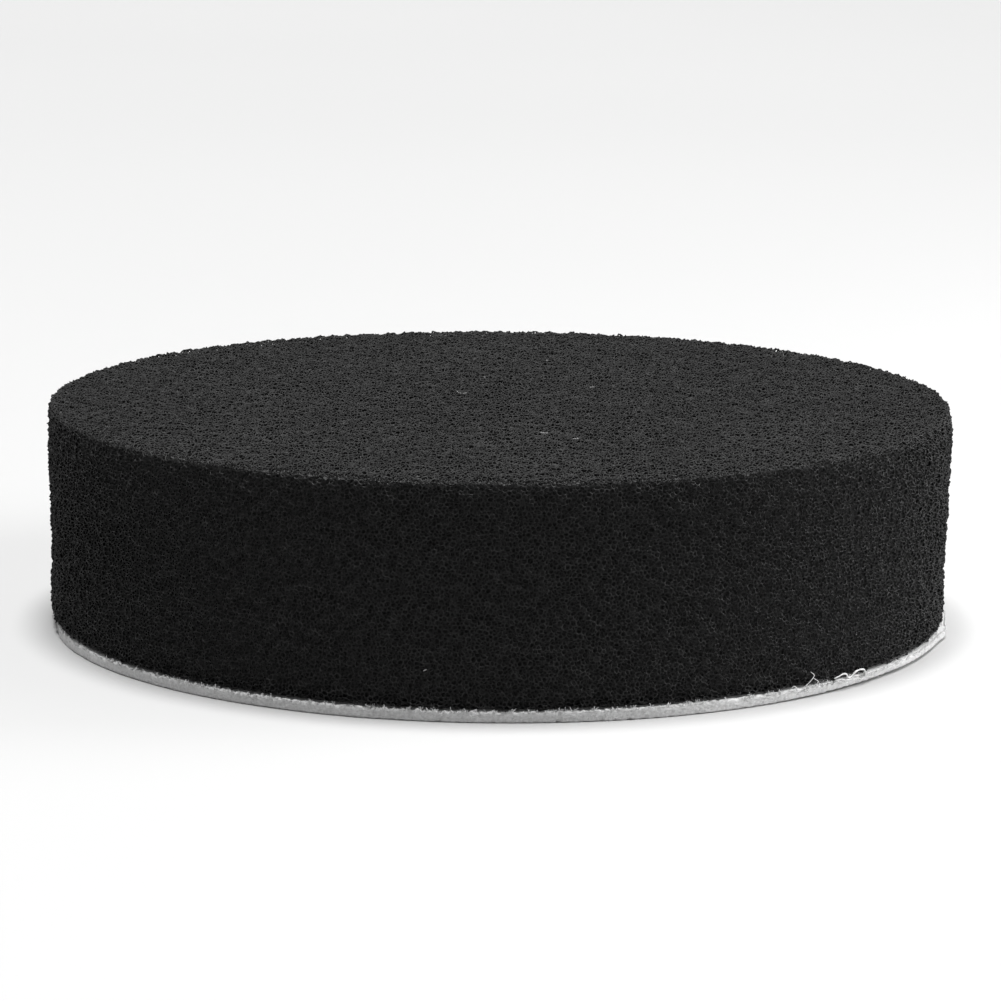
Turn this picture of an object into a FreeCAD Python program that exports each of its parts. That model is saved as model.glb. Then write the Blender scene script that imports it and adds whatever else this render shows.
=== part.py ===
"""Round foam polishing pad with a hook-and-loop backing.

The pad lies on its loop side, as it is stored: the origin is the centre of the loop side,
+Z runs through the foam to the polishing face, and every piece is round about Z.
From the bottom up it is a stack of four pieces, bonded face to face:
loop_pile, loop_fabric_ground, adhesive_film and foam_disc.
"""
import FreeCAD, Part
import os

import Sketcher

# Driving dimensions in millimetres: alias, value, what it is.
DIMENSIONS = [
    ("face_diameter", 125.0, "polishing face of the foam"),
    ("foam_base_diameter", 124.5, "foam where it meets the backing; the die-cut side leans in"),
    ("foam_thickness", 29.3, "foam from the adhesive to the polishing face"),
    ("face_edge_radius", 0.8, "rounding of the polishing face's cut edge"),
    ("film_thickness", 0.15, "hot-melt film after lamination"),
    ("film_setback", 0.25, "how far the film stops inside the foam's base edge"),
    ("cloth_diameter", 124.8, "knitted ground of the loop cloth"),
    ("cloth_thickness", 0.95, "knitted ground, without its loops"),
    ("pile_setback", 0.4, "how far the outermost loops stand inside the cut edge"),
    ("pile_height", 0.6, "brushed loops, lightly pressed by the pad's weight"),
]

# Heights of the piece boundaries above the loop side, worked out in the sheet itself.
LEVELS = [
    ("cloth_bottom", "=pile_height", "knitted ground starts above the loops"),
    ("film_bottom", "=cloth_bottom + cloth_thickness", "film lies on the knitted ground"),
    ("foam_bottom", "=film_bottom + film_thickness", "foam lies on the film"),
    ("pad_height", "=foam_bottom + foam_thickness", "whole pad"),
]


def make_sheet(doc):
    """Spreadsheet 'sizes' with one aliased row per dimension and per level."""
    sheet = doc.addObject("Spreadsheet::Sheet", "sizes")
    for row, (alias, value, note) in enumerate(DIMENSIONS + LEVELS, start=1):
        sheet.set("A%d" % row, alias)
        sheet.set("B%d" % row, str(value))
        sheet.set("C%d" % row, note)
        sheet.setAlias("B%d" % row, alias)
    doc.recompute()
    return sheet


def new_body(doc, label, level=None):
    """An empty body; its Placement lifts it to a level of the sheet."""
    body = doc.addObject("PartDesign::Body", label)
    body.Label = label
    if level:
        body.setExpression("Placement.Base.z", "sizes.%s" % level)
    return body


def new_sketch(body, name, plane_role):
    """A sketch on one of the body's own origin planes."""
    sketch = body.newObject("Sketcher::SketchObject", name)
    plane = next(f for f in body.Origin.OriginFeatures if f.Role == plane_role)
    sketch.AttachmentSupport = [(plane, "")]
    sketch.MapMode = "FlatFace"
    return sketch


def name_size(sketch, constraint, name, expression):
    """Add a constraint, name it and bind it to the sheet."""
    index = sketch.addConstraint(constraint)
    sketch.renameConstraint(index, name)
    sketch.setExpression("Constraints.%s" % name, expression)


def make_disc(doc, label, level, diameter, thickness):
    """A flat round layer: a circle on the XY plane, padded upwards."""
    body = new_body(doc, label, level)
    sketch = new_sketch(body, label + "_outline", "XY_Plane")
    circle = Part.Circle(FreeCAD.Vector(0, 0, 0), FreeCAD.Vector(0, 0, 1), 60)
    sketch.addGeometry(circle, False)
    sketch.addConstraint(Sketcher.Constraint("Coincident", 0, 3, -1, 1))
    name_size(sketch, Sketcher.Constraint("Diameter", 0, 120), "diameter", diameter)
    pad = body.newObject("PartDesign::Pad", label + "_layer")
    pad.Profile = sketch
    pad.setExpression("Length", thickness)
    sketch.Visibility = False
    return body


def foam_profile(body):
    """Half section of the foam on the XZ plane: base, leaning side, face and the Z axis."""
    sketch = new_sketch(body, "foam_section", "XZ_Plane")
    corners = [
        FreeCAD.Vector(0, 0, 0),
        FreeCAD.Vector(62, 0, 0),
        FreeCAD.Vector(63, 29, 0),
        FreeCAD.Vector(0, 29, 0),
    ]
    sides = len(corners)
    for side in range(sides):
        start = corners[side]
        end = corners[(side + 1) % sides]
        sketch.addGeometry(Part.LineSegment(start, end), False)
    for side in range(sides):
        following = (side + 1) % sides
        sketch.addConstraint(Sketcher.Constraint("Coincident", side, 2, following, 1))
    base, side_line, face, axis_line = range(sides)
    sketch.addConstraint(Sketcher.Constraint("Coincident", base, 1, -1, 1))
    sketch.addConstraint(Sketcher.Constraint("Horizontal", base))
    sketch.addConstraint(Sketcher.Constraint("Horizontal", face))
    sketch.addConstraint(Sketcher.Constraint("Vertical", axis_line))
    name_size(sketch, Sketcher.Constraint("DistanceX", base, 1, base, 2, 62),
              "base_radius", "sizes.foam_base_diameter / 2")
    name_size(sketch, Sketcher.Constraint("DistanceX", face, 2, face, 1, 63),
              "face_radius", "sizes.face_diameter / 2")
    name_size(sketch, Sketcher.Constraint("DistanceY", axis_line, 2, axis_line, 1, 29),
              "thickness", "sizes.foam_thickness")
    return sketch


def face_edge(shape, height):
    """Name of the circular edge round the polishing face."""
    for number, edge in enumerate(shape.Edges, start=1):
        at_face = abs(edge.BoundBox.ZMin - height) < 0.01 and abs(edge.BoundBox.ZMax - height) < 0.01
        if at_face and edge.Curve.TypeId == "Part::GeomCircle":
            return "Edge%d" % number
    raise RuntimeError("the foam has no round edge at its face")


def make_foam(doc, sheet):
    """Foam disc: the section turned about Z, with the cut edge of the face rounded."""
    body = new_body(doc, "foam_disc", "foam_bottom")
    sketch = foam_profile(body)
    turned = body.newObject("PartDesign::Revolution", "foam_turned")
    turned.Profile = sketch
    turned.ReferenceAxis = (sketch, ["V_Axis"])
    turned.Angle = 360
    sketch.Visibility = False
    doc.recompute()
    rounded = body.newObject("PartDesign::Fillet", "face_edge_rounding")
    rounded.Base = (turned, [face_edge(turned.Shape, float(sheet.foam_thickness))])
    rounded.setExpression("Radius", "sizes.face_edge_radius")
    return body


def check_document(doc, bodies):
    """Stop if any object failed, or if a piece isn't one valid solid."""
    for item in doc.Objects:
        failed = [state for state in item.State if state in ("Invalid", "Error")]
        if failed:
            raise RuntimeError("%s is %s" % (item.Label, ", ".join(failed)))
    for body in bodies:
        shape = body.Shape
        if shape.isNull() or not shape.isValid() or len(shape.Solids) != 1:
            raise RuntimeError("%s has no single valid solid" % body.Label)


def write_pieces(bodies):
    """One STEP file per piece, named after its label."""
    os.makedirs("parts", exist_ok=True)
    for body in bodies:
        body.Shape.exportStep("parts/%s.step" % body.Label)
        box = body.Shape.optimalBoundingBox(False)
        print("%-20s z %6.2f to %6.2f  across %7.2f  %9.1f mm3"
              % (body.Label, box.ZMin, box.ZMax, box.XLength, body.Shape.Volume))


def main():
    doc = FreeCAD.newDocument("polishing_pad")
    sheet = make_sheet(doc)
    bodies = [
        make_disc(doc, "loop_pile", None, "sizes.cloth_diameter - 2 * sizes.pile_setback",
                  "sizes.pile_height"),
        make_disc(doc, "loop_fabric_ground", "cloth_bottom", "sizes.cloth_diameter",
                  "sizes.cloth_thickness"),
        make_disc(doc, "adhesive_film", "film_bottom",
                  "sizes.foam_base_diameter - 2 * sizes.film_setback", "sizes.film_thickness"),
        make_foam(doc, sheet),
    ]
    doc.recompute()
    check_document(doc, bodies)
    write_pieces(bodies)


main()
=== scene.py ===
"""Round foam polishing pad on its hook-and-loop backing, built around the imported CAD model.

The pad lies on its loop side, with the origin at the middle of that side, +Z up and -Y to the
camera. Shapes are worked out in millimetres and scaled to metres when a mesh is made.
"""
import math

import bpy
import numpy as np
from mathutils import Matrix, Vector
from mathutils.geometry import delaunay_2d_cdt


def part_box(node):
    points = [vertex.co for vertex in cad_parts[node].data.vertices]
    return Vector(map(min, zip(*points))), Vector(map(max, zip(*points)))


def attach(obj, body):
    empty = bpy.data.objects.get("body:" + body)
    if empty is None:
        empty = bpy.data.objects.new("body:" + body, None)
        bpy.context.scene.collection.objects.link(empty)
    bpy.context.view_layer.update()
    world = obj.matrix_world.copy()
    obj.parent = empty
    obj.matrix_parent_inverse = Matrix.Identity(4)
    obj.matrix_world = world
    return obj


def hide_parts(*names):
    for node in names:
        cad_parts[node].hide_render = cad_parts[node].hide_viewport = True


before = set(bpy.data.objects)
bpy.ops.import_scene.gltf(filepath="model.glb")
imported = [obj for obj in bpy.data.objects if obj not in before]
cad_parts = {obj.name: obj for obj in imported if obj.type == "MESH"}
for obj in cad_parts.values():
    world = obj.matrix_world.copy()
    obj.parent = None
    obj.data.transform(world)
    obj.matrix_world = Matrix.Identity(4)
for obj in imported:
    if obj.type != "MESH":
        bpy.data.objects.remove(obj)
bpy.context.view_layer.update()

MM = 0.001
TURN = 2 * math.pi
FOAM_SEED = 11
CLOTH_SEED = 23

# Foam, in millimetres
CELL = 0.58  # distance between neighbouring cells
CELL_JITTER = 0.42  # of that distance, how far a cell strays from its ring
RING_STEP = 0.87  # the distance between rings of cells, in the same measure
FIRST_RING = 0.6  # where the first ring is
OPEN_MARGIN = 1.2  # width of the border of cells that aren't whole
JOIN_TOLERANCE = 1e-7  # below any distance between points
START = 0.05  # where the foam's outline starts, from the axis
EDGE_RADIUS = 0.8  # rounding of the cut edge of the face
BASE_RADIUS = 0.12  # rounding where the side meets the backing
SIDE_LEAN = 0.15  # how far the side leans in on its way down
SIDE_BOW = 0.12  # how far the side is hollow half way down
SIDE_FADE = 3.0  # how far past the rim the side's unevenness is in full
SIDE_WAVES = [  # reach, waves round the pad, turn per millimetre of height, phase
    (0.07, 3, 0.13, 0.0),
    (0.05, 7, -0.31, 1.0),
    (0.04, 2, 0.55, 0.0),
]
WARP_ANGLE = -29.0  # where the pad is warped, in degrees
WARP_WIDTH = 20.0
TOP_SAG = 0.26  # how much lower the cloth's top line is there
FOOT_LIFT = 0.36  # how much higher the cloth's bottom line is there
SAG_HEIGHT = 6.0  # how far up the side the foot's sag reaches
BASE_DROP = 0.25  # how far the crushed foot hangs over film and cloth
BULGES = [  # where the side stands out: angle and half width in degrees, height, half height, reach
    (-8.0, 35.0, 26.0, 9.0, 0.42),
    (-172.0, 35.0, 21.0, 5.0, 0.28),
    (-172.0, 35.0, 5.0, 5.0, 0.26),
]
UNDERLAP = 1.6  # how far the foam is followed in under its base
FACE_STEPS = 300  # points of the outline, part by part
EDGE_STEPS = 12
SIDE_STEPS = 90
FOOT_STEPS = 8
UNDER_STEPS = 12
CELL_RELIEF = 0.5  # how far whole cells stand out or lie back, torn by the cut
CELL_SINK = 0.4  # of that relief, how far all of them lie back
JUNCTION_RELIEF = 0.3  # how far single junctions of struts lie back
JUNCTION_POWER = 1.6  # above 1: most lie back only a little
JUNCTION_STRAY = 0.025  # how far junctions stray
FACE_RELIEF = 0.7  # the face's share of the relief, as it is cut cleaner
FACE_UP = 0.7  # upward part of a normal, above which a junction is on the face
CUT_HEIGHT = 0.1  # no junction stands out further, but for torn tips
TORN_SHARE = 0.08  # junctions that are torn deep
TORN_DEPTH = (0.1, 0.3)
TIP_SHARE = 0.25  # junctions with a torn tip
TIP_HEIGHT = 0.08  # how far torn tips stand out
STRUT_DEPTH = 0.13  # thickness of a strut in its middle
PILLAR_DEPTH = 0.42  # how deep a junction runs in
LIP_DEPTH = 0.07  # how far a strut's widest line is under its crest
LIP_INSET = 0.08  # half width of a strut
LIP_SPREAD = (0.6, 1.5)  # least and most of that half width, cell by cell
CELL_AIM = 0.1  # how far under a cell's middle the inset of its lips aims
SHADE_DEPTH = 0.9  # how deep a junction lies that has the full grey of a pit, which the materials paint paler than a crest as painted light in the pits
LIP_SHADE = 0.2  # how much nearer to that painted pit grey a strut's lips are than its crest
SECTORS = 8  # meshes round the pad, each for face and side
CORE_CELL = 1.0  # cell distance of the dark inner cells
CORE_DEPTH = 0.85  # how far they are under the surface
CORE_STRAY = (-0.1, 0.12)  # unevenness of that depth
CORE_PIT = 0.35  # how much deeper their middles are
CORE_PIT_SPREAD = (0.6, 1.2)
CORE_UV_MARGIN = 0.5  # border of the core's bake map
UV_MARGIN = 0.01  # border of the other bake maps, of the square's side
FACE_STRUTS = (0.005, 0.042, 0.2)  # grey of crests, grey of pits, specular level; the pits are painted paler than the crests as painted light that lifts their shade, on the face more than on the side
SIDE_STRUTS = (0.0055, 0.012, 0.38)
FACE_CORE = (0.06, 0.03)  # grey of the deeper struts and of the cells between: painted light and shade of the deeper foam, the face's copy painted paler than the side's as painted light
SIDE_CORE = (0.03, 0.008)

# Cloth, in millimetres
EDGE_POINTS = 1960  # points round the cut edge
EDGE_ROWS = [  # inset from the rim, height, roughness, darkness; the darkness is painted shade, most on the underside and the lip near the floor
    (1.10, 0.52, 0.0, 0.3),
    (0.75, 0.26, 0.5, 0.4),
    (0.38, 0.08, 0.6, 0.4),
    (0.12, 0.05, 0.6, 0.35),
    (0.02, 0.11, 0.8, 0.25),
    (0.00, 0.21, 1.0, 0.12),
    *[(0.00, height, 1.0, 0.05) for height in (0.32, 0.43, 0.54)],
    *[(0.00, height, 1.0, 0.0) for height in (0.65, 0.76, 0.87, 0.98, 1.09)],
    (0.02, 1.20, 1.0, 0.0),
    (0.07, 1.31, 1.0, 0.0),
    (0.20, 1.41, 0.8, 0.0),
    (0.55, 1.46, 0.3, 0.0),
    (3.00, 1.50, 0.0, 0.0),
]
EDGE_MIDDLE = 0.9  # height on the cut edge that the warp doesn't move
EDGE_HALF = 0.5  # from there up to the top line
FELT_STRAY = 0.035  # how far single points of the cut edge stray out or in
FELT_WAVE = 0.03  # short waves of each row, out and in
EDGE_BULGE = 0.05  # long waves of the whole edge, out and in
LEVEL_STRAY = 0.02  # how far single points stray up or down
TOP_LINE_WAVE = 0.13  # unevenness of the edge's top line
FOOT_LINE_WAVE = 0.05  # unevenness of its bottom line
LEAST_HEIGHT = 0.02  # no point of the cut edge is lower
DARK_STRAY = 0.12  # unevenness of the rows' painted shade
WAVE_COUNT = 24  # waves that make up an uneven line
WAVE_SPREAD = 0.7  # standard deviation of such a line
UNDER_PITCH = 0.55  # point distance on the underside
ROW_STEP = 0.866  # of the pitch, between rows of a triangular grid
KNIT_RELIEF = 0.05  # height of the knit's rows
TABS = [  # where the cut leaves its circle: angle and half width in degrees, reach
    (-12.0, 2.2, 0.5),
    (-174.0, 11.0, -1.05),
]
NICKS = [  # angle in degrees, height, size
    (-138.7, 1.30, 0.20),
    (-134.0, 1.40, 0.16),
    (-95.6, 0.20, 0.16),
    (-82.0, 0.16, 0.22),
]
NICK_DEPTH = 0.45
LOOP_PITCH = 1.25  # distance between loops of the pile
LOOP_STRAY = 0.22  # of that distance, how far a loop strays
LOOP_MARGIN = 0.5  # half the distance from the pile's rim to the outermost loops
LOOP_HEADING = (0.3, 0.6)  # mean and spread of a loop's direction, in radians
LOOP_HALF = (0.36, 0.62)  # least and most of half a loop's width
LOOP_DROP = 0.4  # least height of a loop
LOOP_LEAN = (0.18, 0.12)  # mean and spread of how far a loop leans aside
LOOP_BELLY = 0.35  # how full a loop's flanks are
LOOP_ROOT = 0.03  # how deep a loop's ends are in the knitted ground
LOOP_RADIUS = 0.075
LOOP_STEPS = 7
LOOP_SIDES = 4
FIBRES = 5600  # cut fibres round the edge
FIBRE_STEPS = 4
FIBRE_SIDES = 3
FIBRE_RADIUS = (0.028, 0.065)
FIBRE_TAPER = 0.6  # share of the radius lost at the tip
FIBRE_LEAN = 0.75  # spread of lean and curl, in radians
FIBRE_CURL = 0.5
FIBRE_OUT = (0.06, 0.2)  # how far fibres bend out from the edge
FIBRE_INSET = 0.06  # how far in from the rim they start
LINE_SHARE = 0.8  # of the fibres, those on the top line; the others are all over
LINE_INSET = 0.3  # how far under the cloth's top those fibres start
CLUMPS = 1000  # of fibres along that line
CLUMP_WIDTH = 0.08  # in degrees
CLUMP_POWER = 1.8  # above 1: most clumps are short
YARNS = [  # name, radius, then angle in degrees, height and reach of each bend
    ("stray_yarn", 0.11, [
        (-44.9, 1.75, 62.45), (-44.3, 2.0, 62.7), (-43.6, 2.2, 62.8), (-43.1, 2.1, 62.85),
        (-42.5, 1.5, 62.65), (-42.0, 1.55, 62.7), (-41.2, 2.05, 62.75), (-40.6, 2.2, 62.85),
        (-40.0, 2.15, 62.85), (-39.5, 1.95, 62.8), (-39.2, 1.4, 62.7), (-39.3, 0.95, 62.6),
        (-40.0, 0.7, 62.45),
    ]),
    ("stray_yarn_under", 0.085, [
        (-44.6, 1.35, 62.35), (-43.9, 1.6, 62.7), (-43.3, 1.35, 62.75), (-42.3, 1.2, 62.7),
        (-41.3, 1.55, 62.7), (-40.2, 1.3, 62.45),
    ]),
    ("stray_yarn_end", 0.09, [(-39.0, 1.0, 62.4), (-38.4, 1.3, 62.65), (-37.7, 1.05, 62.4)]),
    ("stray_fibre", 0.05, [
        (-50.2, 1.3, 62.3), (-49.4, 2.1, 62.75), (-48.7, 2.9, 62.8), (-49.1, 3.4, 62.55),
    ]),
    ("stray_fibre_fork", 0.045, [(-48.6, 2.5, 62.6), (-48.0, 2.0, 62.8), (-47.5, 1.3, 62.4)]),
    ("tuft_1", 0.055, [
        (-52.3, 1.3, 62.3), (-51.9, 1.95, 62.75), (-51.4, 1.7, 62.7), (-51.2, 1.3, 62.4),
    ]),
    ("tuft_2", 0.055, [(-58.1, 1.2, 62.3), (-57.8, 1.65, 62.7), (-57.5, 1.25, 62.4)]),
]
YARN_MIDDLE = -45.0  # about their middle, in degrees
YARN_STEPS = 12  # points from bend to bend
YARN_SIDES = 8
YARN_TWIST = (0.18, 40)  # share of the radius that comes and goes, and how fast
YARN_TAPER = 0.45  # share of the radius lost at the ends
LINT = [  # place and size of specks of lint
    (7.0, -31.1, 31.1, 0.7),
    (-5.4, 2.7, 31.1, 0.8),
    (6.6, 30.7, 31.1, 0.5),
    (-2.2, 15.6, 31.1, 0.4),
    (12.6, 6.9, 31.1, 0.4),
    (10.5, -34.6, 31.1, 0.4),
    (-7.72, -62.05, 6.7, 0.35),
]
LINT_STEPS = 7
LINT_SIDES = 5
LINT_RADIUS = 0.045
LINT_STRETCH = [1.2, 0.8, 0.5]
CUT_CLOTH = (0.69, 0.5)  # lightest and darkest grey
LOOP_YARN = (0.74, 0.58)
FRINGE_YARN = (0.74, 0.56)
LINT_FIBRE = (0.3, 0.2)

# Studio: places and sizes in metres, powers in watts, the overhead light in watts per square metre
CAMERA_PLACE = (9.5, -516.7, 117.2)  # in millimetres
CAMERA_LENS = 135.3  # focal length for a 36 mm sensor
CAMERA_TILT = 11.07  # down, in degrees
CAMERA_YAW = -1.026
CAMERA_ROLL = 0.399
SKY = 0.01  # even light from all round
BACKDROP = 0.93  # how pale the space past the floor's edge looks
FLOOR_GREY = 0.42  # the overhead light lifts it to near white
OVERHEAD_FROM = (0.0, 0.03, 1.0)
OVERHEAD_ANGLE = 22.0  # apparent width of the overhead light, in degrees
OVERHEAD = 5.9
LIGHTS = [
    ("right_softbox", (1.0, -0.05, 0.45), (0.9, 0.8), 5.5),
    ("near_right_softbox", (0.4, 0.05, 0.16), (0.25, 0.2), 1.1),
    ("front_right_softbox", (0.75, -0.65, 0.5), (0.7, 0.6), 1.5),
    ("left_softbox", (-0.75, -0.75, 0.6), (0.8, 0.8), 1.7),
    ("left_rim_softbox", (-0.95, 0.35, 0.35), (0.5, 0.5), 1.1),
]
FLOOR_HALF_WIDTH = 3000.0  # the floor, in millimetres
FLOOR_FRONT = -2500.0
FLOOR_BACK = 1200.0  # where it starts to curve up
FLOOR_BEND = 1500.0
FLOOR_STEPS = 24


def box_mm(node):
    """Lowest and highest corner of a CAD node in millimetres."""
    low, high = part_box(node)
    return np.array(low) / MM, np.array(high) / MM


def mesh_object(name, points, faces, depth=None, uv=None, normals=None):
    """A smooth mesh object from points in millimetres and arrays of triangles or quads.

    depth is a value from 0 at a crest or a clean edge to 1 deep down or in the dark, kept as a point
    attribute for the material, which turns it into painted light in the foam's pits and painted shade
    on the cloth's lower edge. uv is one pair per point and becomes the map that textures are baked
    to. normals are set where a mesh is cut from a larger one, so that no seam shows."""
    faces = [f for f in faces if len(f)]
    sides = np.concatenate([np.full(len(f), f.shape[1]) for f in faces])
    corners = np.concatenate([f.ravel() for f in faces]).astype(np.int32)
    mesh = bpy.data.meshes.new(name)
    mesh.vertices.add(len(points))
    mesh.vertices.foreach_set("co", (np.asarray(points) * MM).astype(np.float32).ravel())
    mesh.loops.add(len(corners))
    mesh.loops.foreach_set("vertex_index", corners)
    mesh.polygons.add(len(sides))
    starts = np.concatenate([[0], np.cumsum(sides)[:-1]]).astype(np.int32)
    mesh.polygons.foreach_set("loop_start", starts)
    mesh.polygons.foreach_set("use_smooth", np.ones(len(sides), bool))
    mesh.update(calc_edges=True)
    if depth is not None:
        layer = mesh.attributes.new("depth", "FLOAT", "POINT")
        layer.data.foreach_set("value", np.asarray(depth, np.float32))
    if uv is not None:
        layer = mesh.uv_layers.new(name="OFBake")
        layer.data.foreach_set("uv", np.asarray(uv, np.float32)[corners].ravel())
    mesh.validate()
    if normals is not None:
        mesh.normals_split_custom_set_from_vertices(normals.astype(np.float32))
    piece = bpy.data.objects.new(name, mesh)
    bpy.context.scene.collection.objects.link(piece)
    return piece


# ---- materials

def new_material(name):
    """An empty node material: its tree and its Principled shader."""
    material = bpy.data.materials.new(name)
    material.use_nodes = True
    tree = material.node_tree
    return material, tree, tree.nodes["Principled BSDF"]


def add_node(tree, kind, **settings):
    """A node with settings that are properties, or input sockets by name with _ for a space."""
    node = tree.nodes.new(kind)
    for key, value in settings.items():
        socket = node.inputs.get(key.replace("_", " "))
        if socket is not None and not hasattr(node, key):
            socket.default_value = value
        else:
            setattr(node, key, value)
    return node


def noise(tree, scale, detail=2.0, roughness=0.5):
    """Noise in the pad's own space; scale is per metre."""
    place = add_node(tree, "ShaderNodeTexCoord")
    texture = add_node(tree, "ShaderNodeTexNoise", Scale=scale, Detail=detail, Roughness=roughness)
    tree.links.new(place.outputs["Object"], texture.inputs["Vector"])
    return texture.outputs["Fac"]


def ramp(tree, factor, stops):
    """Colour ramp through (position, grey) stops."""
    node = add_node(tree, "ShaderNodeValToRGB")
    elements = node.color_ramp.elements
    while len(elements) < len(stops):
        elements.new(0.5)
    for element, (position, grey) in zip(elements, stops):
        element.position = position
        element.color = (grey, grey, grey, 1)
    tree.links.new(factor, node.inputs["Fac"])
    return node.outputs["Color"]


def multiply(tree, first, second):
    """Product of two colours."""
    node = add_node(tree, "ShaderNodeMix", data_type="RGBA", blend_type="MULTIPLY")
    node.inputs["Factor"].default_value = 1.0
    tree.links.new(first, node.inputs["A"])
    tree.links.new(second, node.inputs["B"])
    return node.outputs["Result"]


def bump(tree, shader, height, strength, distance):
    """Bump from a height, in metres, on the shader's normal."""
    node = add_node(tree, "ShaderNodeBump", Strength=strength, Distance=distance)
    tree.links.new(height, node.inputs["Height"])
    tree.links.new(node.outputs["Normal"], shader.inputs["Normal"])


def foam_material(name, crest, pit, gloss_level):
    """Black polyurethane: crests and deeper parts in greys set by depth, the deeper parts painted paler
    as painted light that lifts the shade in the pits; slow patches and fine grain.
    """
    material, tree, shader = new_material(name)
    depth = add_node(tree, "ShaderNodeAttribute", attribute_name="depth")
    # Greys from crest to pit by depth; the pits' paler grey is painted light.
    shade = ramp(tree, depth.outputs["Fac"], [(0.0, crest), (1.0, pit)])
    patches = ramp(tree, noise(tree, 45.0, 3.0), [(0.3, 0.82), (0.7, 1.15)])
    grain = ramp(tree, noise(tree, 1300.0, 2.0), [(0.3, 0.8), (0.72, 1.2)])
    tree.links.new(multiply(tree, multiply(tree, shade, patches), grain), shader.inputs["Base Color"])
    gloss = ramp(tree, noise(tree, 2200.0, 1.0), [(0.35, 0.5), (0.65, 0.8)])
    tree.links.new(gloss, shader.inputs["Roughness"])
    shader.inputs["Specular IOR Level"].default_value = gloss_level
    bump(tree, shader, noise(tree, 9000.0, 2.0), 0.35, 0.00003)
    return material


def inner_material(name, strut, cell):
    """The foam behind the open struts, with the deeper struts as pale lines round dark cells: painted
    light and shade of the deeper foam.
    """
    material, tree, shader = new_material(name)
    place = add_node(tree, "ShaderNodeTexCoord")
    cells = add_node(tree, "ShaderNodeTexVoronoi", feature="DISTANCE_TO_EDGE", Scale=1.0 / (CELL * MM))
    tree.links.new(place.outputs["Object"], cells.inputs["Vector"])
    # Painted light and shade: the deeper struts pale, the cells between dark.
    between = 0.25 * strut + 0.75 * cell
    struts = ramp(tree, cells.outputs["Distance"], [(0.04, strut), (0.16, between), (0.4, cell)])
    grain = ramp(tree, noise(tree, 1300.0, 2.0), [(0.3, 0.7), (0.72, 1.3)])
    tree.links.new(multiply(tree, struts, grain), shader.inputs["Base Color"])
    shader.inputs["Roughness"].default_value = 0.8
    shader.inputs["Specular IOR Level"].default_value = 0.2
    bump(tree, shader, cells.outputs["Distance"], 0.6, 0.0002)
    return material


def cloth_material(name, light, dark):
    """Pale polyester cloth: fine mottling of the cut yarn ends and slow soiling, darkened by the depth
    attribute as painted shade near the floor.
    """
    material, tree, shader = new_material(name)
    # Painted shade: the depth attribute darkens the cloth's underside and lower edge.
    depth = add_node(tree, "ShaderNodeAttribute", attribute_name="depth")
    shade = ramp(tree, depth.outputs["Fac"], [(0.0, 1.0), (1.0, 0.45)])
    ends = ramp(tree, noise(tree, 2600.0, 3.0, 0.65), [(0.28, dark), (0.62, light)])
    patches = ramp(tree, noise(tree, 160.0, 3.0), [(0.3, 0.92), (0.7, 1.04)])
    tree.links.new(multiply(tree, multiply(tree, ends, patches), shade), shader.inputs["Base Color"])
    gloss = ramp(tree, noise(tree, 1500.0, 2.0), [(0.3, 0.78), (0.7, 0.95)])
    tree.links.new(gloss, shader.inputs["Roughness"])
    shader.inputs["Sheen Weight"].default_value = 0.2
    bump(tree, shader, noise(tree, 4200.0, 3.0, 0.6), 0.5, 0.00008)
    return material


# ---- foam

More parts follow.
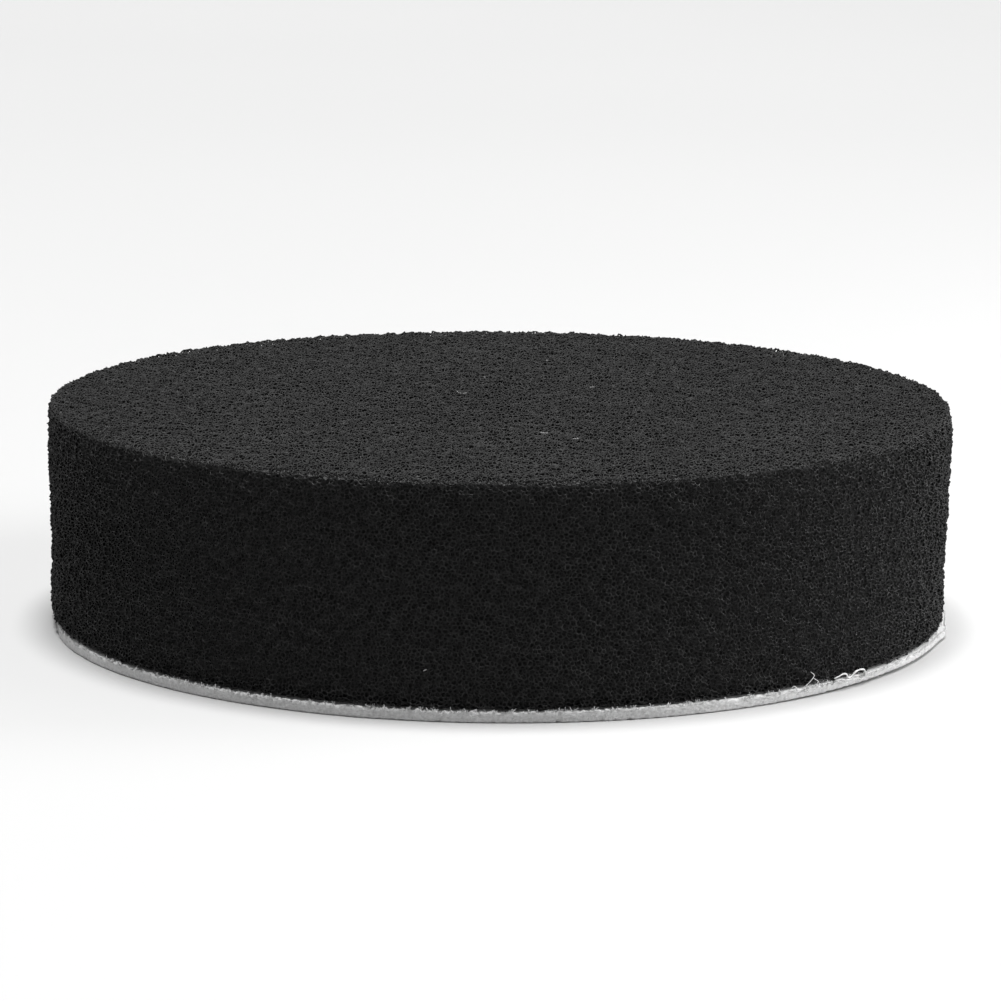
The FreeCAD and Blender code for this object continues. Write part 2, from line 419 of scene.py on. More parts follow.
class Outline:
    """Half section of the foam, walked from the middle of its face over the rim and down the side.

    s is the distance walked. Each s has a radius, a height, an outward normal, and a place in a
    flat map of the whole surface: a disc that keeps every small shape (a conformal map), in which
    the cells can be joined up with no seam between face and side. rim is the s half way round the
    cut edge, where the face ends."""

    def __init__(self):
        low, high = box_mm("foam_disc")
        outer = high[0]
        top = high[2]
        base = low[2] - BASE_DROP
        rim = outer - EDGE_RADIUS
        foot = outer - SIDE_LEAN
        radius = list(np.linspace(START, rim, FACE_STEPS))
        height = [top] * len(radius)
        for angle in np.linspace(0, math.pi / 2, EDGE_STEPS)[1:]:
            radius.append(rim + EDGE_RADIUS * math.sin(angle))
            height.append(top - EDGE_RADIUS + EDGE_RADIUS * math.cos(angle))
        side_top = top - EDGE_RADIUS
        side_foot = base + BASE_RADIUS
        for share in np.linspace(0, 1, SIDE_STEPS)[1:]:
            radius.append(outer - SIDE_LEAN * share - SIDE_BOW * math.sin(math.pi * share))
            height.append(side_top + (side_foot - side_top) * share)
        for angle in np.linspace(0, math.pi / 2, FOOT_STEPS)[1:]:
            radius.append(foot - BASE_RADIUS + BASE_RADIUS * math.cos(angle))
            height.append(side_foot - BASE_RADIUS * math.sin(angle))
        for inward in np.linspace(0, UNDERLAP, UNDER_STEPS)[1:]:
            radius.append(foot - BASE_RADIUS - inward)
            height.append(base)
        self.radius = np.array(radius)
        self.height = np.array(height)
        step = np.hypot(np.diff(self.radius), np.diff(self.height))
        self.s = np.concatenate([[START], START + np.cumsum(step)])
        self.length = self.s[-1]
        self.base = base
        self.rim = rim + EDGE_RADIUS * math.pi / 4
        self.normal_r = -np.gradient(self.height, self.s)
        self.normal_z = np.gradient(self.radius, self.s)
        growth = 0.5 * (1 / self.radius[1:] + 1 / self.radius[:-1]) * step
        self.map_radius = START * np.exp(np.concatenate([[0], np.cumsum(growth)]))

    def read(self, s, column):
        """What a column of the outline, such as radius or height, says at s."""
        return np.interp(s, self.s, column)

    def flat(self, s, angle):
        """Places in the flat map."""
        radius = self.read(s, self.map_radius)
        return np.stack([radius * np.cos(angle), radius * np.sin(angle)], axis=1)

    def place(self, s, angle):
        """Points on the foam's surface, with their outward normals."""
        radius = self.read(s, self.radius)
        height = self.read(s, self.height)
        side = np.clip((s - self.rim) / SIDE_FADE, 0, 1)
        radius = radius + side * side_wave(angle, height)
        near_foot = np.clip(1 - (height - self.base) / SAG_HEIGHT, 0, 1)
        height = height - side * near_foot * TOP_SAG * warp(angle)
        normal_r = self.read(s, self.normal_r)
        normal_z = self.read(s, self.normal_z)
        size = np.hypot(normal_r, normal_z)
        cosine = np.cos(angle)
        sine = np.sin(angle)
        points = np.stack([radius * cosine, radius * sine, height], axis=1)
        normals = np.stack([normal_r * cosine, normal_r * sine, normal_z], axis=1) / size[:, None]
        return points, normals


def degrees_off(angle, middle):
    """How many degrees, from -180 to 180, angles in radians are off a middle one in degrees."""
    return (np.degrees(angle) - middle + 180) % 360 - 180


def warp(angle):
    """From 0 to 1: where the pad is warped, so that the cloth's edge is thin and off the floor."""
    return np.exp(-(degrees_off(angle, WARP_ANGLE) / WARP_WIDTH) ** 2)


def side_wave(angle, height):
    """Slow unevenness of the die-cut side, in millimetres."""
    wave = np.zeros(len(angle))
    for reach, turns, rise, phase in SIDE_WAVES:
        wave += reach * np.sin(turns * angle + rise * height + phase)
    for middle, half_width, level, half_height, reach in BULGES:
        off = degrees_off(angle, middle) / half_width
        wave += reach * np.exp(-off ** 2 - ((height - level) / half_height) ** 2)
    return wave


def join_flat(flat):
    """Delaunay triangulation of flat points: the points in its order, and its triangles."""
    joined = delaunay_2d_cdt([tuple(p) for p in flat], [], [], 0, JOIN_TOLERANCE, False)
    return np.array([tuple(p) for p in joined[0]]), np.array(joined[2])


class Cells:
    """A layer of foam cells spread over the outline.

    Seeds are scattered in uneven rings and joined by a Delaunay triangulation of the flat map.
    A cell is the ring of triangle middles round one seed, as in a Voronoi diagram, so each
    triangle is a junction of three struts and each triangle pair is a strut."""

    def __init__(self, outline, spacing, rng):
        s = []
        angle = []
        for ring in np.arange(FIRST_RING * spacing, outline.length, RING_STEP * spacing):
            around = TURN * outline.read(ring, outline.radius)
            count = max(3, round(around / spacing))
            stray = rng.uniform(-CELL_JITTER, CELL_JITTER, (2, count)) * spacing
            s.append(ring + stray[0])
            angle.append((np.arange(count) + rng.random()) * TURN / count + stray[1] / around * TURN)
        s = np.clip(np.concatenate(s), START, outline.length)
        flat, self.triangles = join_flat(outline.flat(s, np.concatenate(angle)))
        self.angle = np.arctan2(flat[:, 1], flat[:, 0])
        map_radius = np.hypot(flat[:, 0], flat[:, 1])
        self.s = np.interp(map_radius, outline.map_radius, outline.s)
        self.middle, self.middle_normal = outline.place(self.s, self.angle)
        self.corner = self.middle[self.triangles].mean(axis=1)
        normal = self.middle_normal[self.triangles].sum(axis=1)
        self.normal = normal / np.linalg.norm(normal, axis=1)[:, None]
        self.walk(flat)
        self.whole = self.s < outline.length - OPEN_MARGIN * spacing

    def walk(self, flat):
        """Goes round every cell: seed, triangle, and the place of the next triangle in the lists."""
        seed = self.triangles.ravel()
        junction = np.repeat(np.arange(len(self.triangles)), 3)
        away = flat[self.triangles].mean(axis=1)[junction] - flat[seed]
        order = np.lexsort((np.arctan2(away[:, 1], away[:, 0]), seed))
        seed = seed[order]
        new_cell = np.concatenate([[True], seed[1:] != seed[:-1]])
        last = np.concatenate([new_cell[1:], [True]])
        following = np.arange(len(seed)) + 1
        following[last] = np.flatnonzero(new_cell)
        self.seed = seed
        self.junction = junction[order]
        self.following = following
        ends = np.stack([self.junction, self.junction[following]], axis=1)
        ends.sort(axis=1)
        self.strut_ends, self.strut = np.unique(ends, axis=0, return_inverse=True)
        self.strut = self.strut.ravel()


def compact(used, *index_arrays):
    """Renumber index arrays so that they count only the points in use."""
    number = np.full(int(used.max()) + 1, -1)
    kept = np.unique(used)
    number[kept] = np.arange(len(kept))
    return kept, [number[a] for a in index_arrays]


def strut_net(cells, shape):
    """The open struts of all whole cells: points, depths, normals, faces and each face's cell.

    A strut's section is a wedge: a crest on the surface, a lip on each side and a keel below. The
    keel arches up between junctions. Crests and keels are shared by the cells that meet there;
    lips belong to one cell."""
    walk = np.flatnonzero(cells.whole[cells.seed])
    onward = cells.following[walk]
    layers = [
        (shape["crest"], shape["crest_depth"]),
        (shape["keel"], np.ones(len(shape["keel"]))),
        (shape["arch"], np.ones(len(shape["arch"]))),
        (shape["lip"], shape["lip_depth"]),
    ]
    crest, keel, arch, lip = np.cumsum([0] + [len(places) for places, depth in layers[:-1]])
    points = np.concatenate([places for places, depth in layers])
    depth = np.concatenate([depth for places, depth in layers])
    start, end = cells.junction[walk], cells.junction[onward]
    here, there = lip + walk, lip + onward
    under = arch + cells.strut[walk]
    tops = np.stack([crest + start, crest + end, there, here], axis=1)
    undersides = np.concatenate([
        np.stack([here, there, under], axis=1),
        np.stack([here, under, keel + start], axis=1),
        np.stack([there, keel + end, under], axis=1),
    ])
    owner = cells.seed[walk]
    return points, depth, point_normals(points, [tops, undersides]), tops, undersides, owner


def point_normals(points, faces):
    """Normals of points, from all the faces round each."""
    total = np.zeros_like(points)
    for group in faces:
        corner = points[group]
        if group.shape[1] == 3:
            across = np.cross(corner[:, 1] - corner[:, 0], corner[:, 2] - corner[:, 0])
        else:
            across = np.cross(corner[:, 2] - corner[:, 0], corner[:, 3] - corner[:, 1])
        for column in group.T:
            for axis in range(3):
                total[:, axis] += np.bincount(column, across[:, axis], len(points))
    return total / (np.linalg.norm(total, axis=1)[:, None] + 1e-12)


def cut_net(name, net, chosen, to_uv):
    """A mesh of the chosen cells' struts, with the normals of the whole net."""
    points, depth, normals, tops, undersides, owner = net
    own = chosen[owner]
    tops = tops[own]
    undersides = undersides[np.tile(own, 3)]
    used = np.concatenate([tops.ravel(), undersides.ravel()])
    kept, (tops, undersides) = compact(used, tops, undersides)
    points = points[kept]
    return mesh_object(name, points, [tops, undersides], depth[kept], to_uv(points), normals[kept])


def shape_struts(cells, rng):
    """Places of crests, lips and keels: uneven heights, some junctions torn deep, some standing out."""
    junctions = len(cells.corner)
    up = cells.normal
    cell_height = rng.uniform(-1, 1, len(cells.middle))
    height = CELL_RELIEF * (cell_height[cells.triangles].mean(axis=1) - CELL_SINK)
    height -= JUNCTION_RELIEF * rng.random(junctions) ** JUNCTION_POWER
    height *= np.where(up[:, 2] > FACE_UP, FACE_RELIEF, 1.0)
    height = np.minimum(height, CUT_HEIGHT * rng.random(junctions))
    torn = rng.random(junctions) < TORN_SHARE
    height[torn] -= rng.uniform(*TORN_DEPTH, int(torn.sum()))
    has_tip = rng.random(junctions) < TIP_SHARE
    tip = np.where(has_tip, rng.uniform(0.0, TIP_HEIGHT, junctions), 0.0)
    base = cells.corner + rng.normal(0, JUNCTION_STRAY, (junctions, 3))

    first, second = cells.strut_ends.T
    strut_up = 0.5 * (up[first] + up[second])
    strut_base = 0.5 * (base[first] + base[second])
    strut_height = 0.5 * (height[first] + height[second]) - STRUT_DEPTH

    inset = LIP_INSET * rng.uniform(*LIP_SPREAD, len(cells.middle))
    centre = cells.middle - CELL_AIM * cells.middle_normal
    at = cells.junction
    start = base[at] + up[at] * (height[at] - LIP_DEPTH)[:, None]
    inward = centre[cells.seed] - start
    inward -= up[at] * (inward * up[at]).sum(axis=1)[:, None]
    inward /= np.linalg.norm(inward, axis=1)[:, None] + 1e-9
    # sunk: how far a junction takes the pit's grey, painted paler than a crest as painted light in the
    # pits.
    sunk = np.clip(-(height + tip) / SHADE_DEPTH, 0, 1)
    return {
        "crest": base + up * (height + tip)[:, None],
        "keel": base + up * (height - PILLAR_DEPTH)[:, None],
        "arch": strut_base + strut_up * strut_height[:, None],
        "lip": start + inward * inset[cells.seed][:, None],
        "crest_depth": sunk,
        "lip_depth": np.clip(LIP_SHADE + sunk[at], 0, 1),
    }


def core_uv(points):
    """Bake map of the inner cells: straight down."""
    reach = np.abs(points[:, :2]).max() + CORE_UV_MARGIN
    return 0.5 + points[:, :2] / (2 * reach)


def fill_square(pairs):
    """Pairs of values scaled to fill a bake map, but for its border."""
    low = pairs.min(axis=0)
    high = pairs.max(axis=0)
    return UV_MARGIN + (1 - 2 * UV_MARGIN) * (pairs - low) / (high - low)


def sector_uv(points):
    """Bake map of part of the face or the underside: straight down."""
    return fill_square(points[:, :2])


def side_uv(middle_angle):
    """Bake map of part of the side: angle across, height up."""
    def to_uv(points):
        angle = np.arctan2(points[:, 1], points[:, 0]) - middle_angle
        angle = (angle + math.pi) % TURN - math.pi
        return fill_square(np.stack([angle, points[:, 2]], axis=1))
    return to_uv


def make_foam():
    """The foam: open struts in sectors of face and side, over one closed body of inner cells."""
    outline = Outline()
    rng = np.random.default_rng(FOAM_SEED)
    cells = Cells(outline, CELL, rng)
    net = strut_net(cells, shape_struts(cells, rng))
    # Face and side are lit and shaded copies of one foam: the face's pits are painted paler, as painted
    # light.
    face_struts = foam_material("foam_face_struts", *FACE_STRUTS)
    side_struts = foam_material("foam_side_struts", *SIDE_STRUTS)
    pieces = []
    sector = np.floor((cells.angle + math.pi) / (TURN / SECTORS)).astype(int) % SECTORS
    on_face = cells.s < outline.rim
    for number in range(SECTORS):
        middle_angle = (number + 0.5) * TURN / SECTORS - math.pi
        own = cells.whole & (sector == number)
        face = cut_net("foam_face_%d" % (number + 1), net, own & on_face, sector_uv)
        side = cut_net("foam_side_%d" % (number + 1), net, own & ~on_face, side_uv(middle_angle))
        face.data.materials.append(face_struts)
        side.data.materials.append(side_struts)
        pieces += [face, side]
    core = inner_cells(outline, rng)
    # Inner foam in a side copy and a face copy, the face copy painted paler as painted light.
    core.data.materials.append(inner_material("foam_inside_side", *SIDE_CORE))
    core.data.materials.append(inner_material("foam_inside_face", *FACE_CORE))
    pieces.append(core)
    for piece in pieces:
        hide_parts("foam_disc")
        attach(piece, "root")


def inner_cells(outline, rng):
    """The foam behind the open struts: one closed, pitted body."""
    cells = Cells(outline, CORE_CELL, rng)
    junctions = len(cells.corner)
    seeds = len(cells.middle)
    ridge_depth = CORE_DEPTH + rng.uniform(*CORE_STRAY, junctions)
    ridge = cells.corner - cells.normal * ridge_depth[:, None]
    pit_depth = CORE_DEPTH + CORE_PIT * rng.uniform(*CORE_PIT_SPREAD, seeds)
    pit = cells.middle - cells.middle_normal * pit_depth[:, None]
    walk = np.flatnonzero(cells.whole[cells.seed])
    here = cells.junction[walk]
    there = cells.junction[cells.following[walk]]
    seed = junctions + cells.seed[walk]
    faces = np.stack([here, there, seed], axis=1)
    faces = np.concatenate([faces, close_hole(faces, junctions + seeds)])
    below = np.array([[0, 0, ridge[:, 2].min()]])
    kept, (faces,) = compact(faces.ravel(), faces)
    points = np.concatenate([ridge, pit, below])[kept]
    core = mesh_object("foam_core", points, [faces], uv=core_uv(points))
    # The upper faces take the face copy, painted paler as painted light.
    face_floor = box_mm("foam_disc")[1][2] - CORE_DEPTH - 2 * CORE_PIT
    on_face = points[faces][:, :, 2].min(axis=1) > face_floor
    core.data.polygons.foreach_set("material_index", on_face.astype(np.int32))
    return core


def close_hole(faces, middle):
    """Triangles from every open edge of the faces to one middle point."""
    edges = np.concatenate([faces[:, [0, 1]], faces[:, [1, 2]], faces[:, [2, 0]]])
    size = int(faces.max()) + 1
    forward = edges[:, 0] * size + edges[:, 1]
    backward = edges[:, 1] * size + edges[:, 0]
    lonely = edges[~np.isin(forward, backward)]
    return np.stack([lonely[:, 1], lonely[:, 0], np.full(len(lonely), middle)], axis=1)


make_foam()


# ---- cloth

def waves(rng, angle, shortest, longest):
    """Smooth random unevenness round the pad, mostly within -1 to 1; wave lengths in millimetres."""
    rim = box_mm("loop_fabric_ground")[1][0]
    turns = np.round(TURN * rim / rng.uniform(shortest, longest, WAVE_COUNT))
    phases = rng.random(WAVE_COUNT) * TURN
    total = np.zeros(len(angle))
    for turn, phase in zip(turns, phases):
        total += np.sin(turn * angle + phase)
    return total * math.sqrt(2 / WAVE_COUNT) * WAVE_SPREAD


def tubes(paths, radius, sides):
    """Closed tubes along many paths of equally many points: their points and faces."""
    number, steps, _ = paths.shape
    along = np.gradient(paths, axis=1)
    along /= np.linalg.norm(along, axis=2)[..., None] + 1e-12
    chord = paths[:, -1] - paths[:, 0]
    steep = np.abs(chord[:, 2:]) > 0.7 * np.linalg.norm(chord, axis=1)[:, None]
    helper = np.where(steep, [[1.0, 0.3, 0.0]], [[0.1, 0.2, 1.0]])
    side = np.cross(along, helper[:, None, :])
    side /= np.linalg.norm(side, axis=2)[..., None] + 1e-12
    up = np.cross(side, along)
    turn = np.arange(sides) * TURN / sides
    radius = np.broadcast_to(radius, (number, steps))[..., None, None]
    ring = side[:, :, None] * np.cos(turn)[:, None] + up[:, :, None] * np.sin(turn)[:, None]
    points = (paths[:, :, None] + radius * ring).reshape(-1, 3)
    start = (np.arange(number) * steps * sides)[:, None, None]
    step = (np.arange(steps - 1) * sides)[:, None]
    here = start + step + np.arange(sides)
    beside = start + step + (np.arange(sides) + 1) % sides
    walls = np.stack([here, beside, beside + sides, here + sides], axis=-1).reshape(-1, 4)
    first = start[:, 0] + np.arange(sides)[::-1]
    last = start[:, 0] + (steps - 1) * sides + np.arange(sides)
    return points, [walls, first, last]


def triangular_grid(reach, pitch):
    """Points of a triangular grid on a square that reaches this far from the middle."""
    steps = np.arange(-reach, reach, pitch)
    row_steps = np.arange(-reach, reach, pitch * ROW_STEP)
    across, deep = np.meshgrid(steps, row_steps)
    across = across + (np.arange(len(deep)) % 2)[:, None] * pitch / 2
    return np.stack([across.ravel(), deep.ravel()], axis=1)


def cut_reach(angle):
    """How far the cloth's cut edge strays out from its circle, in millimetres."""
    total = np.zeros(len(angle))
    for middle, half_width, reach in TABS:
        total += reach * np.exp(-(degrees_off(angle, middle) / half_width) ** 2)
    return total


def underside(inner, ring):
    """The knitted underside inside a ring of points: its points, the ring's first, and triangles."""
    grid = triangular_grid(inner, UNDER_PITCH)
    grid = grid[np.hypot(grid[:, 0], grid[:, 1]) < inner - 0.6 * UNDER_PITCH]
    flat, triangles = join_flat(np.concatenate([ring, grid]))
    wales = np.cos(TURN * flat[:, 0] / LOOP_PITCH) * np.cos(TURN * flat[:, 1] / LOOP_PITCH)
    inside = np.hypot(flat[:, 0], flat[:, 1]) < inner - 0.1
    height = EDGE_ROWS[0][1] + np.where(inside, KNIT_RELIEF * wales, 0)
    return np.column_stack([flat, height]), triangles[:, ::-1]


def cloth_body(rng):
    """The knitted ground with its matted cut edge, as one closed body.

    The underside is a fine triangle mesh with the knit's rows on it, darkened as painted shade. The
    edge is rings of points that are pushed about like felt, with a darker lip near the floor: painted
    shade of the gap under the edge."""
    rim = box_mm("loop_fabric_ground")[1][0]
    angle = np.arange(EDGE_POINTS) * TURN / EDGE_POINTS
    direction = np.stack([np.cos(angle), np.sin(angle)], axis=1)
    inner = rim - EDGE_ROWS[0][0]
    bottom, under = underside(inner, direction * inner)
    rows = [bottom]
    # Painted shade: the underside and the rows near the floor are darker.
    shade = [np.full(len(bottom), EDGE_ROWS[0][3])]

    ledge = waves(rng, angle, 0.5, 2.5)
    line = waves(rng, angle, 0.45, 2.4)
    bulge = waves(rng, angle, 6.0, 60.0)
    tab = cut_reach(angle)
    for inset, z, roughness, dark in EDGE_ROWS[1:]:
        stray = rng.normal(0, 1, (2, EDGE_POINTS))
        felt = roughness * (FELT_STRAY * stray[0] + FELT_WAVE * waves(rng, angle, 0.5, 1.6))
        radius = rim - inset + felt + roughness * (EDGE_BULGE * bulge + tab)
        top = TOP_LINE_WAVE * np.clip((z - 0.95) / 0.4, 0, 1)
        foot = FOOT_LINE_WAVE * np.clip((0.5 - z) / 0.3, 0, 1)
        lift = roughness * (LEVEL_STRAY * stray[1] + top * line + foot * ledge)
        if z < EDGE_MIDDLE:
            bent = (1 - z / EDGE_MIDDLE) * FOOT_LIFT
        else:
            bent = -(z - EDGE_MIDDLE) / EDGE_HALF * TOP_SAG
        level = z + lift + min(roughness * 2, 1) * bent * warp(angle)
        level = np.clip(level, LEAST_HEIGHT, None)
        for nick_angle, nick_z, nick_size in NICKS:
            off = ((angle - math.radians(nick_angle) + math.pi) % TURN - math.pi) * rim
            near = np.exp(-(off ** 2 + (level - nick_z) ** 2) / nick_size ** 2)
            radius = radius - roughness * NICK_DEPTH * near
        rows.append(np.column_stack([direction * radius[:, None], level]))
        shade.append(dark + DARK_STRAY * rng.random(EDGE_POINTS))
    rows.append(np.array([[0, 0, EDGE_ROWS[-1][1]]]))
    shade.append([0.0])

    index = np.arange(EDGE_POINTS)
    onward = (index + 1) % EDGE_POINTS
    quads = []
    starts = [0] + [len(bottom) + number * EDGE_POINTS for number in range(len(EDGE_ROWS) - 1)]
    for below, above in zip(starts[:-1], starts[1:]):
        quads.append(np.stack([below + index, below + onward, above + onward, above + index], axis=1))
    points = np.concatenate(rows)
    middle = np.full(EDGE_POINTS, len(points) - 1)
    fan = np.stack([starts[-1] + index, starts[-1] + onward, middle], axis=1)

    uv = cloth_uv(points, len(bottom), rim)
    return mesh_object("loop_fabric", points, [under, fan, *quads], np.concatenate(shade), uv)


def cloth_uv(points, under_points, rim):
    """Bake map: the underside as a disc that fills the square, with the edge band spread round it."""
    disc_share = 0.44
    band_share = 0.05
    band_inset = 1.2
    band_height = 1.6
    away = np.hypot(points[:, 0], points[:, 1])
    direction = points[:, :2] / (away[:, None] + 1e-9)
    spread = np.minimum(away, rim - band_inset) / rim * disc_share
    band = np.zeros(len(points))
    band[under_points:] = band_share * np.clip(points[under_points:, 2] / band_height, 0, 1)
    return 0.5 + direction * (spread + band)[:, None]


def loops(rng):
    """The pile: thousands of small yarn arches on the underside, in four meshes."""
    rim = box_mm("loop_pile")[1][0] - LOOP_MARGIN
    root = box_mm("loop_fabric_ground")[0][2]
    place = triangular_grid(rim, LOOP_PITCH)
    place += rng.uniform(-LOOP_STRAY, LOOP_STRAY, place.shape) * LOOP_PITCH
    place = place[np.hypot(place[:, 0], place[:, 1]) < rim - LOOP_MARGIN]
    count = len(place)
    heading = rng.normal(*LOOP_HEADING, count)
    half = rng.uniform(*LOOP_HALF, count)
    drop = rng.uniform(LOOP_DROP, root - LOOP_RADIUS - LEAST_HEIGHT, count)
    lean = rng.normal(*LOOP_LEAN, count)
    bend = np.linspace(0, math.pi, LOOP_STEPS)
    out = -np.cos(bend) * (1 + LOOP_BELLY * np.sin(bend))
    fall = np.sin(bend) ** 0.75
    along = np.stack([np.cos(heading), np.sin(heading)], axis=1)
    aside = np.stack([-np.sin(heading), np.cos(heading)], axis=1)
    flat = (place[:, None] + along[:, None] * (half[:, None] * out)[..., None]
            + aside[:, None] * (lean[:, None] * fall)[..., None])
    height = root + LOOP_ROOT - (drop[:, None] + LOOP_ROOT) * fall
    paths = np.concatenate([flat, height[..., None]], axis=2)
    pieces = []
    quarter = (place[:, 0] > 0).astype(int) + 2 * (place[:, 1] > 0)
    for number in range(4):
        points, faces = tubes(paths[quarter == number], LOOP_RADIUS, LOOP_SIDES)
        pieces.append(mesh_object("loop_pile_%d" % (number + 1), points, faces, uv=sector_uv(points)))
    return pieces


def on_side(angle, height, reach):
    """Points round the pad from an angle in degrees, a height and a reach out from the axis."""
    turn = np.radians(angle)
    return np.stack([reach * np.cos(turn), reach * np.sin(turn), height], axis=-1)


def edge_fibres(rng):
    """Short cut fibres that stand up from the top line of the cloth and out of its edge."""
    rim, _, top = box_mm("loop_fabric_ground")[1]
    on_line = rng.random(FIBRES) < LINE_SHARE
    clump = rng.integers(0, CLUMPS, FIBRES)
    clump_angle = rng.uniform(-180, 180, CLUMPS)
    clump_length = 0.08 + 0.6 * rng.random(CLUMPS) ** CLUMP_POWER
    line_angle = clump_angle[clump] + rng.normal(0, CLUMP_WIDTH, FIBRES)
    angle = np.where(on_line, line_angle, rng.uniform(-180, 180, FIBRES))
    line_foot = top - LINE_INSET + rng.normal(0, 0.05, FIBRES)
    foot = np.where(on_line, line_foot, rng.uniform(0.2, 1.25, FIBRES))
    foot -= np.where(on_line, TOP_SAG, 0) * warp(np.radians(angle))
    line_length = 0.12 + clump_length[clump] * rng.uniform(0.6, 1.1, FIBRES)
    length = np.where(on_line, line_length, rng.uniform(0.12, 0.35, FIBRES))[:, None]
    lean = rng.normal(0, FIBRE_LEAN, FIBRES)
    curl = rng.normal(0, FIBRE_CURL, FIBRES)
    share = np.linspace(0, 1, FIBRE_STEPS)
    turn = lean[:, None] + curl[:, None] * share
    sideways = np.cumsum(np.sin(turn), axis=1) / FIBRE_STEPS * length
    upward = np.cumsum(np.cos(turn), axis=1) / FIBRE_STEPS * length
    outward = rng.uniform(*FIBRE_OUT, FIBRES)[:, None] * np.sin(share * 2.4)
    degrees = angle[:, None] + np.degrees(sideways / rim)
    reach = rim - FIBRE_INSET + cut_reach(np.radians(angle))[:, None] + outward
    paths = on_side(degrees, foot[:, None] + upward, reach)
    radius = rng.uniform(*FIBRE_RADIUS, FIBRES)[:, None] * (1 - FIBRE_TAPER * share)
    points, faces = tubes(paths, radius, FIBRE_SIDES)
    return mesh_object("cut_edge_fibres", points, faces, uv=side_uv(0.0)(points))


def smooth(corners, steps):
    """Points along a smooth line through the corners (Catmull-Rom)."""
    corners = np.array(corners, float)
    ends = np.concatenate([[2 * corners[0] - corners[1]], corners, [2 * corners[-1] - corners[-2]]])
    at = np.linspace(0, len(corners) - 1, steps)
    part = np.clip(at.astype(int), 0, len(corners) - 2)
    t = (at - part)[:, None]
    before, start, end, after = (ends[part + offset] for offset in range(4))
    return 0.5 * (2 * start + (end - before) * t + (2 * before - 5 * start + 4 * end - after) * t ** 2
                  + (3 * start - before - 3 * end + after) * t ** 3)


def stray_yarns():
    """Pulled ends of yarn that lie over the lower edge of the foam at the front right."""
    to_uv = side_uv(math.radians(YARN_MIDDLE))
    pieces = []
    for name, radius, corners in YARNS:
        path = on_side(*smooth(corners, YARN_STEPS * len(corners)).T)[None]
        share = np.linspace(0, 1, path.shape[1])
        twist = 1 + YARN_TWIST[0] * np.sin(share * YARN_TWIST[1])
        taper = 1 - YARN_TAPER * np.abs(2 * share - 1) ** 6
        points, faces = tubes(path, (radius * twist * taper)[None], YARN_SIDES)
        pieces.append(mesh_object(name, points, faces, uv=to_uv(points)))
    return pieces


def lint(rng):
    """A few pale specks of lint caught in the foam."""
    paths = []
    for *place, size in LINT:
        steps = rng.normal(0, size / 3, (LINT_STEPS, 3)) * LINT_STRETCH
        paths.append(np.array(place) + np.cumsum(steps, axis=0))
    points, faces = tubes(np.array(paths), LINT_RADIUS, LINT_SIDES)
    return mesh_object("lint", points, faces, uv=sector_uv(points))


def make_cloth():
    """The cloth with its pile, cut fibres and pulled yarns, and the lint in the foam."""
    rng = np.random.default_rng(CLOTH_SEED)
    fabric = cloth_body(rng)
    pile = loops(rng)
    fibres = edge_fibres(rng)
    yarns = stray_yarns()
    specks = lint(rng)
    fabric.data.materials.append(cloth_material("cut_cloth", *CUT_CLOTH))
    yarn = cloth_material("loop_yarn", *LOOP_YARN)
    for piece in pile:
        piece.data.materials.append(yarn)
    fringe = cloth_material("fringe_yarn", *FRINGE_YARN)
    for piece in [fibres, *yarns]:
        piece.data.materials.append(fringe)
    specks.data.materials.append(cloth_material("lint_fibre", *LINT_FIBRE))
    for piece in [fabric, fibres, *yarns]:
        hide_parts("loop_fabric_ground")
    for piece in pile:
        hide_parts("loop_pile")
    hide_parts("foam_disc")
    for piece in [fabric, *pile, fibres, *yarns, specks]:
        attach(piece, "root")


def paint_film():
    """Procedural look for the CAD adhesive film between foam and cloth."""
    material, tree, shader = new_material("adhesive")
    shade = ramp(tree, noise(tree, 260.0, 3.0), [(0.3, 0.03), (0.7, 0.045)])
    tree.links.new(shade, shader.inputs["Base Color"])
    gloss = ramp(tree, noise(tree, 900.0, 2.0), [(0.35, 0.3), (0.65, 0.55)])
    tree.links.new(gloss, shader.inputs["Roughness"])
    bump(tree, shader, noise(tree, 1800.0, 2.0), 0.3, 0.00004)
    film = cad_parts["adhesive_film"]
    if not film.data.materials:
        film.data.materials.append(material)
    for slot in film.material_slots:
        slot.material = material


make_cloth()
paint_film()


# ---- studio

def stand(thing, right, up, back, place):
    """Links a camera or light and sets where it is and its three axes."""
    bpy.context.scene.collection.objects.link(thing)
    axes = np.stack([right, up, back, place], axis=1)
    thing.matrix_world = Matrix([*axes.tolist(), [0, 0, 0, 1]])


def make_camera():
    """Long lens, a little above the pad, level to within half a degree."""
    data = bpy.data.cameras.new("camera")
    data.sensor_width = 36.0
    data.lens = CAMERA_LENS
    data.clip_start = 0.05
    data.clip_end = 20.0
    camera = bpy.data.objects.new("camera", data)
    tilt = math.radians(CAMERA_TILT)
    yaw = math.radians(CAMERA_YAW)
    roll = math.radians(CAMERA_ROLL)
    level = math.cos(tilt)
    forward = np.array([math.sin(yaw) * level, math.cos(yaw) * level, -math.sin(tilt)])
    right = np.array([math.cos(yaw), -math.sin(yaw), 0.0])
    up = np.cross(right, forward)
    rolled_right = math.cos(roll) * right + math.sin(roll) * up
    rolled_up = math.cos(roll) * up - math.sin(roll) * right
    stand(camera, rolled_right, rolled_up, -forward, np.array(CAMERA_PLACE) * MM)
    bpy.context.scene.camera = camera


def aim(light, place):
    """Puts a light at its place and turns it towards the pad."""
    back = np.array(place) / np.linalg.norm(place)
    side = np.cross([0.0, 1.0, 0.0], back)
    side /= np.linalg.norm(side)
    stand(light, side, np.cross(back, side), back, np.array(place))


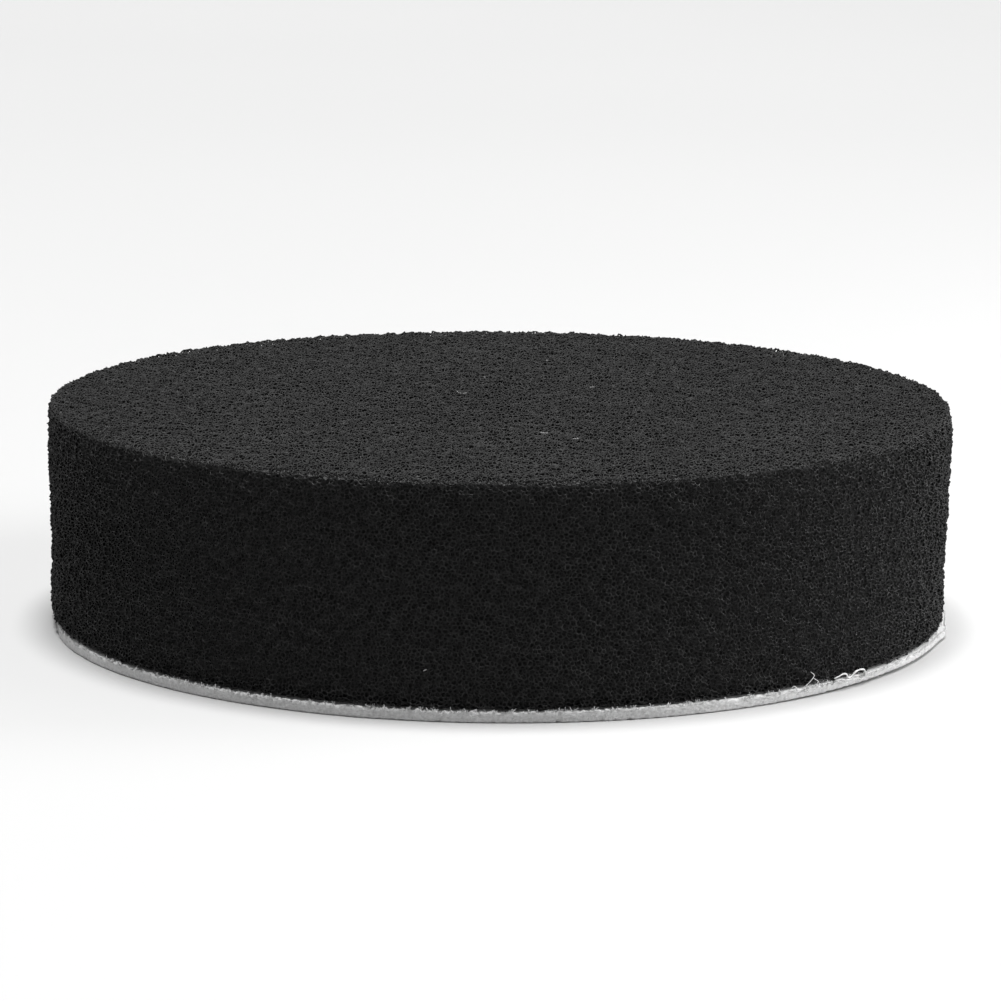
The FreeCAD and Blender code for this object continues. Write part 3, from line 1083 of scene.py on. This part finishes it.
def make_softbox(name, place, size, power):
    """A soft rectangular light that points at the pad."""
    data = bpy.data.lights.new(name, "AREA")
    data.shape = "RECTANGLE"
    data.size = size[0]
    data.size_y = size[1]
    data.energy = power
    aim(bpy.data.objects.new(name, data), place)


def make_overhead():
    """A wide soft light from so far above that it lights the whole floor evenly."""
    data = bpy.data.lights.new("overhead", "SUN")
    data.angle = math.radians(OVERHEAD_ANGLE)
    data.energy = OVERHEAD
    aim(bpy.data.objects.new("overhead", data), OVERHEAD_FROM)


def make_floor():
    """A wide pale floor, which curves up far behind the pad, so that the photograph's view has no
    horizon."""
    bend = FLOOR_BEND
    profile = [(FLOOR_FRONT, 0.0), (FLOOR_BACK, 0.0)]
    for angle in np.linspace(0, math.pi / 2, FLOOR_STEPS)[1:]:
        profile.append((FLOOR_BACK + bend * math.sin(angle), bend - bend * math.cos(angle)))
    profile = np.array(profile)
    rows = len(profile)
    left = np.column_stack([np.full(rows, -FLOOR_HALF_WIDTH), profile])
    right = np.column_stack([np.full(rows, FLOOR_HALF_WIDTH), profile])
    row = np.arange(rows - 1)
    quads = np.stack([row, rows + row, rows + row + 1, row + 1], axis=1)
    floor = mesh_object("floor", np.concatenate([left, right]), [quads])
    material, tree, shader = new_material("floor")
    shade = ramp(tree, noise(tree, 1.5, 1.0), [(0.3, 0.98 * FLOOR_GREY), (0.7, 1.02 * FLOOR_GREY)])
    tree.links.new(shade, shader.inputs["Base Color"])
    shader.inputs["Roughness"].default_value = 0.9
    floor.data.materials.append(material)


def make_studio():
    """Lights, floor and surroundings. Past the floor's edge the camera sees a pale backdrop, which
    lights nothing."""
    scene = bpy.context.scene
    scene.view_settings.view_transform = "Standard"
    world = bpy.data.worlds.new("studio")
    scene.world = world
    world.use_nodes = True
    tree = world.node_tree
    sky = tree.nodes["Background"]
    sky.inputs["Color"].default_value = (1, 1, 1, 1)
    sky.inputs["Strength"].default_value = SKY
    backdrop = add_node(tree, "ShaderNodeBackground", Color=(1, 1, 1, 1), Strength=BACKDROP)
    seen = add_node(tree, "ShaderNodeLightPath")
    either = add_node(tree, "ShaderNodeMixShader")
    tree.links.new(seen.outputs["Is Camera Ray"], either.inputs["Fac"])
    tree.links.new(sky.outputs["Background"], either.inputs[1])
    tree.links.new(backdrop.outputs["Background"], either.inputs[2])
    tree.links.new(either.outputs["Shader"], tree.nodes["World Output"].inputs["Surface"])
    make_overhead()
    for name, place, size, power in LIGHTS:
        make_softbox(name, place, size, power)
    make_floor()


make_camera()
make_studio()
